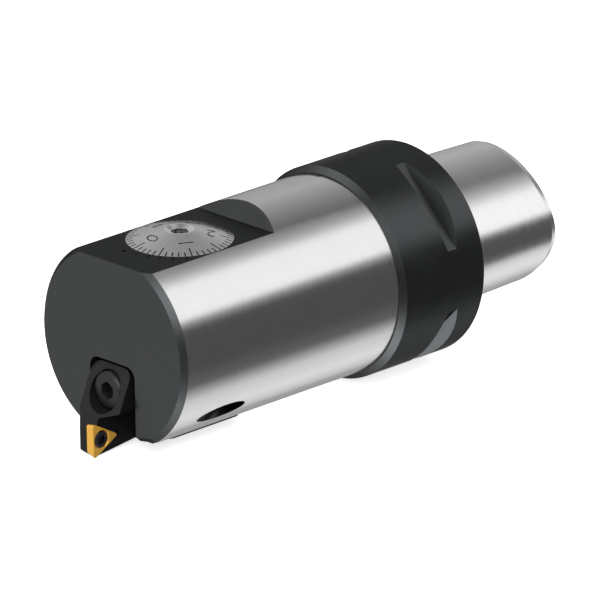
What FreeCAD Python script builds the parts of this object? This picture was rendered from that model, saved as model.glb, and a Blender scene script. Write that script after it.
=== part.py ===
"""Fine boring head with a polygon taper shank.

Frame: origin on the tool axis at the gauge face (rear face of the flange).
+X runs along the tool axis into the spindle, +Z runs up through the dial, and the
cutting tip is at -Z. The tool cuts with its rake face looking along -Y.
All lengths are millimetres.
"""
import FreeCAD, Part
import math
import os
import Sketcher

NAME = "boring_head"
V = FreeCAD.Vector

doc = FreeCAD.newDocument(NAME)
sheet = doc.addObject("Spreadsheet::Sheet", "dims")


# ---------------------------------------------------------------- driving dimensions
class Size:
    """A length as a number, with the expression that keeps it tied to the sheet."""

    def __init__(self, number, text):
        self.number = number
        self.text = text

    def __add__(self, other):
        other = size(other)
        return Size(self.number + other.number, f"({self.text} + {other.text})")

    def __radd__(self, other):
        return size(other) + self

    def __sub__(self, other):
        other = size(other)
        return Size(self.number - other.number, f"({self.text} - {other.text})")

    def __rsub__(self, other):
        return size(other) - self

    def __mul__(self, other):
        other = size(other)
        return Size(self.number * other.number, f"({self.text} * {other.text})")

    def __rmul__(self, other):
        return size(other) * self

    def __truediv__(self, other):
        other = size(other)
        return Size(self.number / other.number, f"({self.text} / {other.text})")

    def __neg__(self):
        return Size(-self.number, f"(-1 * {self.text})")


def size(value):
    return value if isinstance(value, Size) else Size(float(value), repr(float(value)))


rows = 0


def dim(alias, number, meaning):
    """One row of the sheet: what it is, its value, and its alias."""
    global rows
    rows += 1
    sheet.set(f"A{rows}", meaning)
    sheet.set(f"B{rows}", str(number))
    sheet.setAlias(f"B{rows}", alias)
    return Size(float(number), f"<<dims>>.{alias}")


# Head: a ground cylinder in front of the flange.
reach = dim("reach", 74.1, "gauge face to front face")
head_radius = dim("head_radius", 18.83, "ground cylinder")
nose_chamfer = dim("nose_chamfer", 1.0, "front edge chamfer")
flat_height = dim("flat_height", 16.0, "top flat above the axis")
flat_length = dim("flat_length", 30.8, "front face to the foot of the 45 degree shoulder")
relief_drop = dim("relief_drop", 17.46, "bottom relief to the axis, behind the front chamfer")
relief_run = dim("relief_run", 6.4, "front face to where the bottom relief runs out")
relief_turn = dim("relief_turn", 10.2, "bottom relief turned towards -Y, degrees")

# Flange and polygon taper shank, size 40.
flange_radius = dim("flange_radius", 20.0, "flange outside")
flange_width = dim("flange_width", 20.0, "cylindrical part of the flange")
flange_front = dim("flange_front", 0.9, "front bevel along the axis")
flange_rear = dim("flange_rear", 0.5, "rear edge chamfer")
grip_floor = dim("grip_floor", 17.63, "gripper pocket floor to the axis")
grip_middle = dim("grip_middle", 7.65, "gauge face to the middle of the gripper pockets")
grip_floor_width = dim("grip_floor_width", 2.15, "width of the gripper pocket floor")
grip_flank_run = dim("grip_flank_run", 0.58, "flank run along the axis per unit of depth")
shank_length = dim("shank_length", 24.0, "gauge face to the end of the shank")
shank_diameter = dim("shank_diameter", 28.3, "mean diameter of the polygon at the gauge face")
shank_lobe = dim("shank_lobe", 0.9, "eccentricity of the polygon")
shank_taper = dim("shank_taper", 20.0, "taper ratio, one in")
shank_lead = dim("shank_lead", 1.3, "length of the lead-in at the end of the shank")
lead_angle = dim("lead_angle", 17.0, "slope of that lead-in, degrees")
mouth_radius = dim("mouth_radius", 9.0, "clamping bore in the shank")
mouth_depth = dim("mouth_depth", 16.0, "depth of the clamping bore")
claw_radius = dim("claw_radius", 10.2, "groove that the clamping segments pull on")
claw_width = dim("claw_width", 5.0, "width of that groove")
claw_lip = dim("claw_lip", 4.0, "end of the shank to the groove")
bolt_radius = dim("bolt_radius", 6.2, "thread bore for the centre bolt")
bolt_depth = dim("bolt_depth", 20.0, "length of that thread bore")
coolant_radius = dim("coolant_radius", 2.0, "coolant bore")
coolant_back = dim("coolant_back", 12.7, "front face to the coolant outlet")
coolant_start = dim("coolant_start", 10.2, "gauge face to where the coolant bore leaves the axis")
coolant_angle = dim("coolant_angle", 129.7, "outlet turned from the dial side towards -Y, degrees")
coolant_past = dim("coolant_past", 12.0, "length that the coolant drill passes the surface")

# Slide and the slot that guides it.
dial_back = dim("dial_back", 17.0, "front face to the axis of the dial")
slide_width = dim("slide_width", 11.6, "slide across the tool axis")
slide_length = dim("slide_length", 18.0, "slide along the tool axis")
slide_bottom = dim("slide_bottom", 18.46, "underside of the slide below the axis")
slide_top = dim("slide_top", 4.0, "top of the slide above the axis")
slide_corner = dim("slide_corner", 1.5, "corner radius of the slide")
slide_gap = dim("slide_gap", 0.05, "running clearance on each side of the slide")
travel_in = dim("travel_in", 0.5, "inward travel from the position shown")
travel_out = dim("travel_out", 6.5, "outward travel from the position shown")
stop_gap = dim("stop_gap", 0.05, "clearance left at each end stop")
head_space = dim("head_space", 0.3, "free height over the slide at its inner stop")

# Front pocket and cartridge.
pocket_top = dim("pocket_top", 2.85, "top of the front pocket below the axis")
pocket_corner = dim("pocket_corner", 2.2, "corner radius of the front pocket")
plate_top = dim("plate_top", 3.8, "top of the cartridge below the axis")
plate_low = dim("plate_low", 4.2, "reach of the cartridge towards -Y")
plate_corner = dim("plate_corner", 2.0, "top corner radius of the cartridge")
brow_depth = dim("brow_depth", 1.0, "top front edge of the cartridge behind the front face")
nose_reach = dim("nose_reach", 4.3, "nose of the cartridge in front of the front face")
nose_level = dim("nose_level", 15.3, "where the sloping front meets the nose, below the axis")
belly_front = dim("belly_front", 19.97, "underside of the cartridge at the nose, below the axis")
belly_rear = dim("belly_rear", 18.67, "underside of the cartridge at the slide, below the axis")
cheek_chamfer = dim("cheek_chamfer", 1.6, "upright chamfer on the back of the nose")
sweep_radius = dim("sweep_radius", 19.9, "nothing behind the edge stands further out")
gullet_floor = dim("gullet_floor", 0.4, "chip gullet floor behind the rake plane")
gullet_roof = dim("gullet_roof", 12.9, "gullet roof below the axis at the rake plane")
gullet_rise = dim("gullet_rise", 1.7, "rise of the gullet roof towards -Y")
gullet_end = dim("gullet_end", 5.6, "front face to the rear end of the gullet")

# Insert, triangular, 7 degree clearance.
insert_side = dim("insert_side", 6.87, "side of the triangle, sharp")
insert_thick = dim("insert_thick", 1.98, "thickness")
insert_nose = dim("insert_nose", 0.4, "nose radius")
insert_lean = dim("insert_lean", 7.0, "clearance angle, degrees")
insert_bore = dim("insert_bore", 1.2, "hole for the screw")
insert_sink = dim("insert_sink", 0.6, "countersink of that hole, on the radius")
insert_sink_depth = dim("insert_sink_depth", 1.0, "depth of that countersink")
edge_reach = dim("edge_reach", 4.9, "cutting edge in front of the front face")
tip_drop = dim("tip_drop", 20.3, "sharp cutting corner below the axis")
seat_gap = dim("seat_gap", 0.04, "gap between the insert and its seat walls")
corner_relief = dim("corner_relief", 0.55, "round relief at the rear corner of the seat")
small_stem = dim("small_stem", 1.0, "thread of the insert screw")
small_rim = dim("small_rim", 1.5, "head of the insert screw")
small_sunk = dim("small_sunk", 0.05, "top of that head behind the rake plane")
small_edge = dim("small_edge", 0.25, "straight edge of that head")
small_taper = dim("small_taper", 0.8, "depth of the tapered part of that head")
small_length = dim("small_length", 4.2, "rake plane to the end of the insert screw")
small_recess = dim("small_recess", 0.55, "radius and depth of that head's recess")

# Dial mechanism.
screw_radius = dim("screw_radius", 3.0, "feed thread, 0.5 pitch")
screw_end = dim("screw_end", 14.5, "end of the feed screw below the axis")
screw_tip = dim("screw_tip", 0.5, "chamfer at the end of the feed screw")
thread_rise = dim("thread_rise", 0.3, "feed thread that runs into the bearing bush")
journal_radius = dim("journal_radius", 3.5, "journal of the feed screw")
collar_radius = dim("collar_radius", 6.0, "thrust collar of the feed screw")
collar_height = dim("collar_height", 1.8, "thickness of the thrust collar")
neck_radius = dim("neck_radius", 4.0, "feed screw inside the bearing nut")
tip_radius = dim("tip_radius", 2.7, "top end of the feed screw in the dial")
run_gap = dim("run_gap", 0.05, "running clearance, on the radius")
sink_radius = dim("sink_radius", 2.6, "countersink round the dial's socket")
sink_depth = dim("sink_depth", 0.5, "depth of that countersink")
disc_radius = dim("disc_radius", 9.7, "rim of the dial")
disc_depth = dim("disc_depth", 1.1, "underside of the dial below the flat")
disc_proud = dim("disc_proud", 0.05, "rim of the dial above the flat")
disc_rise = dim("disc_rise", 1.9, "top of the dial above the flat")
disc_crown = dim("disc_crown", 2.95, "flat crown of the dial")
disc_gap = dim("disc_gap", 0.08, "gap round the dial")
disc_seat = dim("disc_seat", 0.3, "gap under the dial")
nut_radius = dim("nut_radius", 7.5, "bearing nut")
nut_height = dim("nut_height", 1.85, "thickness of the bearing nut")
spanner_radius = dim("spanner_radius", 0.6, "spanner holes in the bearing nut")
spanner_floor = dim("spanner_floor", 0.9, "metal left under the spanner holes")
washer_height = dim("washer_height", 0.6, "thickness of each thrust washer")
washer_gap = dim("washer_gap", 0.2, "thrust washers inside the bush's flange, on the radius")
bush_radius = dim("bush_radius", 4.6, "barrel of the bearing bush")
bush_flange = dim("bush_flange", 6.5, "flange of the bearing bush")
bush_lip = dim("bush_lip", 1.0, "thickness of that flange")
bush_length = dim("bush_length", 3.8, "length of that barrel")
seal_width = dim("seal_width", 1.0, "square section of the seal ring")
feed_nut_radius = dim("feed_nut_radius", 4.2, "outside of the feed nut")
feed_nut_top = dim("feed_nut_top", 3.0, "top of the feed nut below the axis")
feed_nut_length = dim("feed_nut_length", 7.0, "length of the feed nut")
well_gap = dim("well_gap", 0.3, "room round the end of the feed screw, on the radius")
well_space = dim("well_space", 0.9, "room under the feed screw at the inner stop")
spring_wide = dim("spring_wide", 0.8, "wire of the backlash spring, across")
spring_thick = dim("spring_thick", 0.6, "wire of the backlash spring, along its axis")
spring_radius = dim("spring_radius", 3.6, "mean radius of the backlash spring")
spring_turns = dim("spring_turns", 4.0, "turns of the backlash spring")
spring_seat = dim("spring_seat", 0.5, "thickness of the ring under the spring")

# Screws and pins.
socket_width = dim("socket_width", 3.0, "hex sockets, across flats")
socket_depth = dim("socket_depth", 3.0, "sockets of the feed screw and of the lock screw")
hole_space = dim("hole_space", 0.5, "drilled past the end of a screw")
pin_space = dim("pin_space", 0.2, "drilled past the end of a dowel")
cap_radius = dim("cap_radius", 3.5, "head of the cartridge screw")
cap_height = dim("cap_height", 4.0, "height of that head")
cap_edge = dim("cap_edge", 0.4, "chamfer of that head")
cap_socket = dim("cap_socket", 2.0, "depth of that head's socket")
cap_gap = dim("cap_gap", 0.25, "counterbore round that head, and the hole round its thread")
clamp_radius = dim("clamp_radius", 2.0, "thread of the cartridge screw")
clamp_bite = dim("clamp_bite", 3.4, "thread of the cartridge screw inside the slide")
clamp_side = dim("clamp_side", 0.8, "cartridge screw towards +Y")
clamp_drop = dim("clamp_drop", 8.4, "cartridge screw below the axis")
clamp_proud = dim("clamp_proud", 0.6, "top of the screw head in front of the front face")
lock_radius = dim("lock_radius", 3.0, "slide lock screw, 1.0 pitch")
lock_length = dim("lock_length", 8.0, "length of the lock screw")
lock_back = dim("lock_back", 3.4, "lock screw in front of the dial axis")
lock_drop = dim("lock_drop", 8.0, "lock screw below the axis")
pad_length = dim("pad_length", 3.0, "length of the brass pad")
pad_gap = dim("pad_gap", 0.02, "gap left at the pad's two faces")
stop_radius = dim("stop_radius", 1.5, "stop pin")
stop_length = dim("stop_length", 12.0, "length of the stop pin")
stop_bite = dim("stop_bite", 1.4, "reach of the stop pin into the slide")
stop_back = dim("stop_back", 6.4, "stop pin behind the dial axis")
stop_drop = dim("stop_drop", 8.0, "stop pin below the axis")
groove_side = dim("groove_side", 0.1, "room beside the stop pin in its groove")
groove_deep = dim("groove_deep", 0.2, "room past the end of the stop pin")
dowel_radius = dim("dowel_radius", 1.0, "cartridge dowels")
dowel_half = dim("dowel_half", 3.0, "half the length of a dowel")
dowel_out = dim("dowel_out", 3.1, "lower dowel towards +Y from the cartridge screw")
dowel_low = dim("dowel_low", 5.2, "lower dowel below the cartridge screw")
dowel_in = dim("dowel_in", 3.4, "upper dowel towards -Y from the cartridge screw")
dowel_high = dim("dowel_high", 2.7, "upper dowel above the cartridge screw")
nut_pin_radius = dim("nut_pin_radius", 0.75, "pin that keeps the feed nut from turning")
nut_pin_rise = dim("nut_pin_rise", 2.0, "that pin above the foot of the feed nut")
nut_pin_bite = dim("nut_pin_bite", 0.6, "reach of that pin into the feed nut")
nut_pin_sunk = dim("nut_pin_sunk", 0.1, "that pin inside the slide's rear face")
doc.recompute()


# ---------------------------------------------------------------- building helpers
def bind(obj, prop, value):
    obj.setExpression(prop, size(value).text)


def place(obj, at):
    for axis, value in zip("xyz", at):
        bind(obj, f"Placement.Base.{axis}", value)


TURN = {
    "+X": FreeCAD.Rotation(V(0, 1, 0), 90),
    "-X": FreeCAD.Rotation(V(0, 1, 0), -90),
    "+Y": FreeCAD.Rotation(V(1, 0, 0), -90),
    "-Y": FreeCAD.Rotation(V(1, 0, 0), 90),
    "+Z": FreeCAD.Rotation(),
    "-Z": FreeCAD.Rotation(V(1, 0, 0), 180),
}


def rod(name, radius, length, at, way="+Z"):
    """A cylinder that starts at a point and runs along a row axis."""
    obj = doc.addObject("Part::Cylinder", name)
    obj.Placement = FreeCAD.Placement(V(), TURN[way])
    bind(obj, "Radius", radius)
    bind(obj, "Height", length)
    place(obj, at)
    return obj


def cone(name, radius_a, radius_b, length, at, way="+Z"):
    obj = doc.addObject("Part::Cone", name)
    obj.Placement = FreeCAD.Placement(V(), TURN[way])
    bind(obj, "Radius1", radius_a)
    bind(obj, "Radius2", radius_b)
    bind(obj, "Height", length)
    place(obj, at)
    return obj


def block(name, low, spans):
    obj = doc.addObject("Part::Box", name)
    for prop, value in zip(("Length", "Width", "Height"), spans):
        bind(obj, prop, value)
    place(obj, low)
    return obj


def hexagon(name, across, length, at, way="+Z"):
    """A hex socket's cutter, from the mouth inwards."""
    obj = doc.addObject("Part::Prism", name)
    obj.Polygon = 6
    obj.Placement = FreeCAD.Placement(V(), TURN[way])
    bind(obj, "Circumradius", across / math.sqrt(3.0))
    bind(obj, "Height", length)
    place(obj, at)
    return obj


def cut(name, base, *tools):
    """Base less its tools, one boolean after another."""
    for count, tool in enumerate(tools):
        last = count == len(tools) - 1
        step = doc.addObject("Part::Cut", name if last else f"{name}_cut{count}")
        step.Base = base
        step.Tool = tool
        base = step
    return base


def fuse(name, *shapes):
    obj = doc.addObject("Part::MultiFuse", name)
    obj.Shapes = list(shapes)
    return obj


def common(name, *shapes):
    obj = doc.addObject("Part::MultiCommon", name)
    obj.Shapes = list(shapes)
    return obj


def sketch_on(body, name, plane, lift=None, lean=0.0):
    """A sketch on one of the body's own origin planes, lifted along its normal."""
    sketch = body.newObject("Sketcher::SketchObject", name)
    support = next(f for f in body.Origin.OriginFeatures if f.Role == plane)
    sketch.AttachmentSupport = (support, [""])
    sketch.MapMode = "FlatFace"
    sketch.AttachmentOffset = FreeCAD.Placement(V(), FreeCAD.Rotation(V(1, 0, 0), lean))
    if lift is not None:
        bind(sketch, "AttachmentOffset.Base.z", lift)
    return sketch


def pin_point(sketch, geo, pos, x, y):
    """Hold a sketch point at two distances from the sketch's origin."""
    for kind, value in (("DistanceX", size(x)), ("DistanceY", size(y))):
        index = sketch.addConstraint(Sketcher.Constraint(kind, -1, 1, geo, pos, value.number))
        sketch.setExpression(f"Constraints[{index}]", value.text)


def polygon(sketch, points):
    """A closed outline of straight lines through points given as sizes."""
    count = len(points)
    corners = [V(size(x).number, size(y).number, 0) for x, y in points]
    first = sketch.GeometryCount
    for i in range(count):
        sketch.addGeometry(Part.LineSegment(corners[i], corners[(i + 1) % count]))
    for i in range(count):
        after = first + (i + 1) % count
        sketch.addConstraint(Sketcher.Constraint("Coincident", first + i, 2, after, 1))
    for i, (x, y) in enumerate(points):
        pin_point(sketch, first + i, 1, x, y)


def new_body(name):
    return doc.addObject("PartDesign::Body", name)


def origin_axis(body, role):
    return next(f for f in body.Origin.OriginFeatures if f.Role == role)


def turned(name, points, axis="X_Axis", plane="XZ_Plane"):
    """A body turned from a half section, points being (along, out) or (out, along)."""
    body = new_body(name)
    sketch = sketch_on(body, f"{name}_section", plane)
    polygon(sketch, points)
    turn = body.newObject("PartDesign::Revolution", f"{name}_turned")
    turn.Profile = sketch
    turn.ReferenceAxis = (origin_axis(body, axis), [""])
    turn.Angle = 360
    return body


def padded(name, plane, points, length, lift=None, midplane=False):
    """A body padded from one outline."""
    body = new_body(name)
    sketch = sketch_on(body, f"{name}_outline", plane, lift)
    polygon(sketch, points)
    pad = body.newObject("PartDesign::Pad", f"{name}_pad")
    pad.Profile = sketch
    pad.Midplane = midplane
    bind(pad, "Length", length)
    return body


def node(obj, name):
    """Name a finished sub-part and list it for export."""
    obj.Label = name
    nodes.append((name, obj))
    return obj


nodes = []
ZERO = size(0.0)
TOUCH = 0.01
TRILOBE_POINTS = 36
DRILL_POINT = 0.6
SINK_RUN = 1.5
over = size(1.0)
tall = head_radius + over
front = -reach
dial_x = front + dial_back
dial_axis = (dial_x, ZERO)


# ---------------------------------------------------------------- head with its shank
def trilobe(at, diameter):
    """Closed polygon-taper outline across the axis, one lobe towards -Y."""
    lobe = shank_lobe.number
    points = []
    for i in range(TRILOBE_POINTS):
        a = 2 * math.pi * i / TRILOBE_POINTS
        arm = diameter / 2 - lobe * math.cos(3 * a)
        swing = 3 * lobe * math.sin(3 * a)
        points.append(V(at, arm * math.cos(a) - swing * math.sin(a),
                        arm * math.sin(a) + swing * math.cos(a)))
    curve = Part.BSplineCurve()
    curve.interpolate(Points=points, PeriodicFlag=True)
    return Part.Wire([curve.toShape()])


def make_shank():
    """Three-lobed taper, a solid of its own until it is fused to the flange."""
    length, lead, sunk = shank_length.number, shank_lead.number, over.number
    step = 2 * lead * math.tan(math.radians(lead_angle.number))
    big = shank_diameter.number + sunk / shank_taper.number
    small = shank_diameter.number - (length - lead) / shank_taper.number
    rings = [trilobe(-sunk, big), trilobe(length - lead, small), trilobe(length, small - step)]
    shank = doc.addObject("Part::Feature", "shank_solid")
    shank.Shape = Part.makeLoft(rings, True, True)
    return shank


def make_barrel():
    """Turned head and flange with the four gripper pockets."""
    barrel = turned("barrel", [
        (front, ZERO), (front, head_radius - nose_chamfer), (front + nose_chamfer, head_radius),
        (-flange_width - flange_front, head_radius), (-flange_width, flange_radius),
        (-flange_rear, flange_radius),
        (ZERO, flange_radius - flange_rear), (ZERO, ZERO)])
    pocket_sketch = sketch_on(barrel, "grip_section", "XZ_Plane", lean=45.0)
    half = grip_floor_width / 2
    mouth = flange_radius + over
    run = half + (mouth - grip_floor) * grip_flank_run
    polygon(pocket_sketch, [(-grip_middle - half, grip_floor), (-grip_middle + half, grip_floor),
                            (-grip_middle + run, mouth), (-grip_middle - run, mouth)])
    pocket = barrel.newObject("PartDesign::Pocket", "grip_pocket")
    pocket.Profile = pocket_sketch
    pocket.Midplane = True
    bind(pocket, "Length", flange_radius * 2)
    ring = barrel.newObject("PartDesign::PolarPattern", "grip_pockets")
    ring.Originals = [pocket]
    ring.Axis = (origin_axis(barrel, "X_Axis"), [""])
    ring.Angle = 360
    ring.Occurrences = 4
    barrel.Tip = ring
    return barrel


def make_flat():
    """What is cut from the top: a flat that runs out in a 45 degree shoulder."""
    foot = front + flat_length
    return padded("flat_cutter", "XZ_Plane",
                  [(front - over, flat_height), (foot, flat_height),
                   (foot + (tall - flat_height), tall), (front - over, tall)],
                  tall * 2, midplane=True)


def make_relief():
    """Wedge cut from the underside at the front, with the front chamfer carried along it."""
    wedge = padded("relief_cutter", "XZ_Plane",
                   [(front - over, -relief_drop + nose_chamfer + over),
                    (front + nose_chamfer, -relief_drop),
                    (front + relief_run, -head_radius), (front + relief_run, -tall),
                    (front - over, -tall)],
                   tall * 2, midplane=True)
    wedge.Placement = FreeCAD.Placement(V(), FreeCAD.Rotation(V(-1, 0, 0), relief_turn.number))
    return wedge


slot_ceiling = slide_top + travel_in + head_space
slot_half = slide_width / 2 + slide_gap
slide_front = dial_x - slide_length / 2
slide_back = dial_x + slide_length / 2
bush_seat = slot_ceiling + bush_length
lower_washer_foot = bush_seat + bush_lip
collar_foot = lower_washer_foot + washer_height + run_gap
washer_foot = collar_foot + collar_height + run_gap
nut_foot = washer_foot + washer_height
disc_foot = flat_height - disc_depth
recess_floor = disc_foot - disc_seat


def rounded_block(name, low, spans, radius):
    """A block whose four upright edges are rounded."""
    obj = doc.addObject("Part::Fillet", name)
    obj.Base = block(f"{name}_block", low, spans)
    doc.recompute()
    upright = [i + 1 for i, edge in enumerate(obj.Base.Shape.Edges)
               if abs(edge.Vertexes[0].Z - edge.Vertexes[-1].Z) > TOUCH]
    obj.Edges = [(i, radius.number, radius.number) for i in upright]
    return obj


def make_slot():
    """Guide slot for the slide, open at the bottom of the head."""
    return rounded_block("slot_cutter",
                         (slide_front - slide_gap, -slot_half, -tall),
                         (slide_length + slide_gap * 2, slot_half * 2, slot_ceiling + tall),
                         slide_corner)


def make_pocket():
    """Front pocket: two rounded top corners, open at the front and the bottom."""
    body = padded("pocket_cutter", "YZ_Plane",
                  [(-slot_half, -tall), (slot_half, -tall), (slot_half, -pocket_top),
                   (-slot_half, -pocket_top)],
                  slide_front + slide_corner - front + over, lift=front - over)
    doc.recompute()
    pad = body.Tip
    top = [f"Edge{i + 1}" for i, edge in enumerate(pad.Shape.Edges)
           if edge.CenterOfMass.z > -pocket_top.number - TOUCH
           and edge.BoundBox.XLength > TOUCH]
    soften = body.newObject("PartDesign::Fillet", "pocket_corners")
    soften.Base = (pad, top)
    bind(soften, "Radius", pocket_corner)
    return body


def make_dial_seat():
    """Stepped bore under the dial, from the flat down into the slot."""
    x, y = dial_axis
    collar_bore = bush_flange + run_gap
    return fuse("dial_seat",
                rod("dial_recess", disc_radius + disc_gap, flat_height + over - recess_floor,
                    (x, y, recess_floor)),
                rod("nut_bore", nut_radius, recess_floor - nut_foot + over, (x, y, nut_foot)),
                rod("collar_bore", collar_bore, nut_foot - bush_seat + over, (x, y, bush_seat)),
                rod("bush_bore", bush_radius, bush_seat - slot_ceiling + over * 2,
                    (x, y, slot_ceiling - over)))


def make_shank_bore():
    """Clamping bore with its segment groove, and the centre bolt's thread bore."""
    flank = claw_radius - mouth_radius
    groove_end = shank_length - claw_lip
    return turned("shank_bore", [
        (shank_length + over, ZERO), (shank_length + over, mouth_radius),
        (groove_end, mouth_radius), (groove_end - flank, claw_radius),
        (groove_end - claw_width + flank, claw_radius), (groove_end - claw_width, mouth_radius),
        (shank_length - mouth_depth, mouth_radius), (shank_length - mouth_depth, bolt_radius),
        (shank_length - mouth_depth - bolt_depth, bolt_radius),
        (shank_length - mouth_depth - bolt_depth - bolt_radius * DRILL_POINT, ZERO)])


def make_coolant_bore():
    """Straight bore from the centre bolt's bore to an outlet low on the -Y side."""
    angle = math.radians(coolant_angle.number)
    start = V(-coolant_start.number, 0, 0)
    out = head_radius.number
    mouth = V((front + coolant_back).number, -out * math.sin(angle), out * math.cos(angle))
    way = mouth - start
    bore = doc.addObject("Part::Cylinder", "coolant_bore")
    bind(bore, "Radius", coolant_radius)
    bore.Height = way.Length + coolant_past.number
    bore.Placement = FreeCAD.Placement(start, FreeCAD.Rotation(V(0, 0, 1), way))
    return bore


lock_x = dial_x - lock_back
stop_x = dial_x + stop_back
pad_face = slide_width / 2 + pad_gap
screw_face = pad_face + pad_length + pad_gap
stop_face = slide_width / 2 - stop_bite


def make_head():
    """One solid: head, flange and shank, with everything cut into it."""
    blank = fuse("head_blank", make_barrel(), make_shank())
    lock_bore = rod("lock_bore", lock_radius + run_gap, tall, (lock_x, ZERO, -lock_drop), "+Y")
    stop_bore = rod("stop_bore", stop_radius, tall, (stop_x, ZERO, -stop_drop), "+Y")
    return node(cut("head_body_solid", blank, make_flat(), make_relief(), make_slot(), make_pocket(),
                    make_dial_seat(), make_shank_bore(), make_coolant_bore(), lock_bore,
                    stop_bore), "head_body")


# ---------------------------------------------------------------- dial and its bearing
def make_adjusting_screw():
    """Feed screw: thread, journal, thrust collar, neck and the end that holds the dial."""
    top = flat_height + disc_rise
    thread_top = slot_ceiling + thread_rise
    x, y = dial_axis
    stem = turned("feed_screw_stem", [
        (ZERO, -screw_end), (screw_radius - screw_tip, -screw_end),
        (screw_radius, -screw_end + screw_tip), (screw_radius, thread_top),
        (journal_radius, thread_top),
        (journal_radius, collar_foot), (collar_radius, collar_foot),
        (collar_radius, collar_foot + collar_height), (neck_radius, collar_foot + collar_height),
        (neck_radius, disc_foot), (tip_radius, disc_foot), (tip_radius, top), (ZERO, top)],
        axis="Z_Axis")
    place(stem, (x, y, ZERO))
    socket = hexagon("feed_screw_socket", socket_width, socket_depth + over, (x, y, top + over),
                     "-Z")
    sink = cone("feed_screw_sink", sink_radius, sink_radius - sink_depth * SINK_RUN, sink_depth,
                (x, y, top), "-Z")
    return node(cut("adjusting_screw_solid", stem, socket, sink), "adjusting_screw")


def make_scale_disc():
    """Shallow cone that carries the divisions."""
    top = flat_height + disc_rise
    rim = flat_height + disc_proud
    disc = turned("scale_disc_solid", [
        (tip_radius, disc_foot), (disc_radius, disc_foot), (disc_radius, rim), (disc_crown, top),
        (tip_radius, top)], axis="Z_Axis")
    place(disc, (*dial_axis, ZERO))
    return node(disc, "scale_disc")


def make_bearing_bush():
    """Flanged bush: journal bearing below, thrust face on top."""
    bush = turned("bearing_bush_solid", [
        (journal_radius + run_gap, slot_ceiling), (bush_radius, slot_ceiling),
        (bush_radius, bush_seat), (bush_flange, bush_seat), (bush_flange, bush_seat + bush_lip),
        (journal_radius + run_gap, bush_seat + bush_lip)], axis="Z_Axis")
    place(bush, (*dial_axis, ZERO))
    return node(bush, "bearing_bush")


def make_washer(name, inner, outer, low, height):
    """Flat ring about the dial's axis."""
    ring = turned(f"{name}_solid", [(inner, low), (outer, low), (outer, low + height),
                                    (inner, low + height)], axis="Z_Axis")
    place(ring, (*dial_axis, ZERO))
    return node(ring, name)


def make_thrust_washers():
    """One under the collar and one over it."""
    outer = bush_flange - washer_gap
    make_washer("lower_thrust_washer", journal_radius + run_gap * 2, outer, lower_washer_foot,
                washer_height)
    make_washer("upper_thrust_washer", neck_radius + run_gap * 2, outer, washer_foot,
                washer_height)


def make_bearing_nut():
    """Ring nut over the collar, with the seal's groove and two spanner holes."""
    top = nut_foot + nut_height
    groove = top - seal_width
    groove_out = neck_radius + run_gap * 2 + seal_width
    ring = turned("bearing_nut_ring", [
        (neck_radius + run_gap * 2, nut_foot), (nut_radius, nut_foot), (nut_radius, top),
        (groove_out, top), (groove_out, groove), (neck_radius + run_gap * 2, groove)],
        axis="Z_Axis")
    place(ring, (*dial_axis, ZERO))
    x, y = dial_axis
    middle = (groove_out + nut_radius) / 2
    holes = [rod(f"spanner_hole{i}", spanner_radius, nut_height,
                 (x, y + middle * side, nut_foot + spanner_floor))
             for i, side in enumerate((-1.0, 1.0))]
    return node(cut("bearing_nut_solid", ring, *holes), "bearing_nut")


def make_dial_seal():
    """Square seal ring about the neck of the feed screw."""
    inner = neck_radius + run_gap
    return make_washer("dial_seal", inner, inner + seal_width, nut_foot + nut_height - seal_width,
                       seal_width)


# ---------------------------------------------------------------- slide and feed nut
nut_top = -feed_nut_top
nut_low = nut_top - feed_nut_length
well_low = -screw_end - travel_in - well_space


def make_slide():
    """Guided block with the feed bore, the stop groove and the cartridge's seats."""
    x, y = dial_axis
    bar = rounded_block("slide_bar", (slide_front, -slide_width / 2, -slide_bottom),
                        (slide_length, slide_width, slide_bottom + slide_top),
                        slide_corner + slide_gap)
    nut_well = rod("nut_well", feed_nut_radius, slide_top - nut_low + over, (x, y, nut_low))
    screw_well = rod("screw_well", screw_radius + well_gap, nut_low - well_low + over,
                     (x, y, well_low))
    groove_low = -stop_drop - stop_radius - travel_in - stop_gap
    groove_high = -stop_drop + stop_radius + travel_out + stop_gap
    groove = block("stop_groove",
                   (stop_x - stop_radius - groove_side, stop_face - groove_deep, groove_low),
                   (stop_radius * 2 + groove_side * 2, stop_bite + groove_deep + over,
                    groove_high - groove_low))
    thread = rod("clamp_thread", clamp_radius, clamp_bite + hole_space, clamp_start, "+X")
    dowels = [rod(f"slide_dowel_hole{i}", dowel_radius, dowel_half + pin_space,
                  (slide_front, side, drop), "+X") for i, (side, drop) in enumerate(dowel_spots)]
    pin = rod("slide_pin_hole", nut_pin_radius, slide_length / 2 - feed_nut_radius + over,
              (slide_back, ZERO, nut_pin_level), "-X")
    return node(cut("slide_solid", bar, nut_well, screw_well, groove, thread, *dowels, pin),
                "slide")


def make_feed_nut():
    x, y = dial_axis
    nut = rod("feed_nut_blank", feed_nut_radius, feed_nut_length, (x, y, nut_low))
    thread = rod("feed_nut_thread", screw_radius + run_gap, feed_nut_length + over * 2,
                 (x, y, nut_low - over))
    pin = rod("feed_nut_pin_hole", nut_pin_radius, nut_pin_bite + over,
              (x + feed_nut_radius + over, y, nut_pin_level), "-X")
    return node(cut("feed_nut_solid", nut, thread, pin), "feed_nut")


def make_nut_pin():
    length = slide_length / 2 - feed_nut_radius + nut_pin_bite - nut_pin_sunk
    pin = rod("nut_pin_solid", nut_pin_radius, length,
              (slide_back - nut_pin_sunk, ZERO, nut_pin_level), "-X")
    return node(pin, "nut_pin")


def make_spring_seat():
    """Thin ring that lets the spring turn on the feed nut."""
    return make_washer("spring_seat", screw_radius + run_gap * 4, feed_nut_radius - run_gap,
                       nut_top, spring_seat)


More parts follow.
